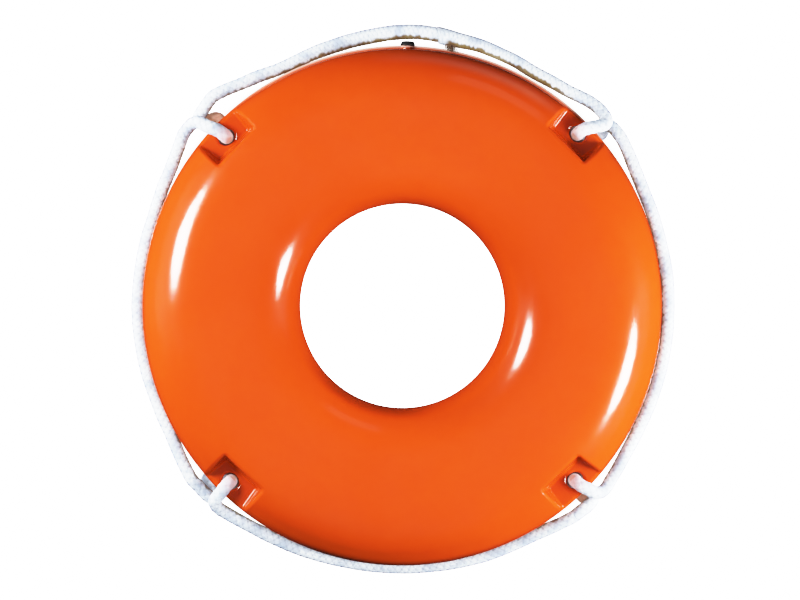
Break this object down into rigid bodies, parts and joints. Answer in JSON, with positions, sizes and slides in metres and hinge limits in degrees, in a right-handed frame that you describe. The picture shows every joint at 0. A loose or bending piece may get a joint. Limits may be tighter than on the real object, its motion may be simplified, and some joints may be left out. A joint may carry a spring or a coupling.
{
  "type": "life ring",
  "caption": "Ring lifebuoy: a foam-filled moulded plastic ring with rope pockets round the rim, and a grab line hitched through an eye in each pocket.",
  "frame": {"origin": "on the ring's axis, in the plane that the ring's back rests on", "axes": "+Z along the ring's axis, from the back to the front face; +Y towards the filler plug (1.2 degrees beside it)"},
  "size_m": [0.5256, 0.5328, 0.092],
  "materials": {
    "shell": "glossy moulded polyethylene, orange",
    "foam": "rigid closed-cell foam",
    "plug": "black moulded plastic",
    "line": "braided polypropylene line, white",
    "tail": "frayed line end, brown"
  },
  "bodies": {
    "ring": {"ring_shell": "shell", "foam_core": "foam", "filler_plug": "plug", "hitch_top_right": "line", "hitch_top_left": "line", "hitch_bottom_left": "line", "hitch_bottom_right": "line"},
    "right_loop": {"line_right": "line"},
    "top_loop": {"line_top_right_run": "line", "line_top_left_run": "line", "splice_tail": "tail"},
    "left_loop": {"line_left": "line"},
    "bottom_loop": {"line_bottom": "line"}
  },
  "joints": [
    {"name": "right_loop_swing", "type": "hinge", "parent": "ring", "child": "right_loop", "pos_m": [0.20644, -0.00347, 0.046], "axis": [-0.0319, -0.9995, 0], "range_deg": [-30, 40]},
    {"name": "top_loop_swing", "type": "hinge", "parent": "ring", "child": "top_loop", "pos_m": [-0.00099, 0.19961, 0.046], "axis": [0.9999, -0.0136, 0], "range_deg": [-28, 48]},
    {"name": "left_loop_swing", "type": "hinge", "parent": "ring", "child": "left_loop", "pos_m": [-0.20753, -0.00115, 0.046], "axis": [-0.0248, 0.9997, 0], "range_deg": [-18, 46]},
    {"name": "bottom_loop_swing", "type": "hinge", "parent": "ring", "child": "bottom_loop", "pos_m": [-0.00218, -0.20182, 0.046], "axis": [-0.9999, 0.01, 0], "range_deg": [-14, 52]}
  ]
}
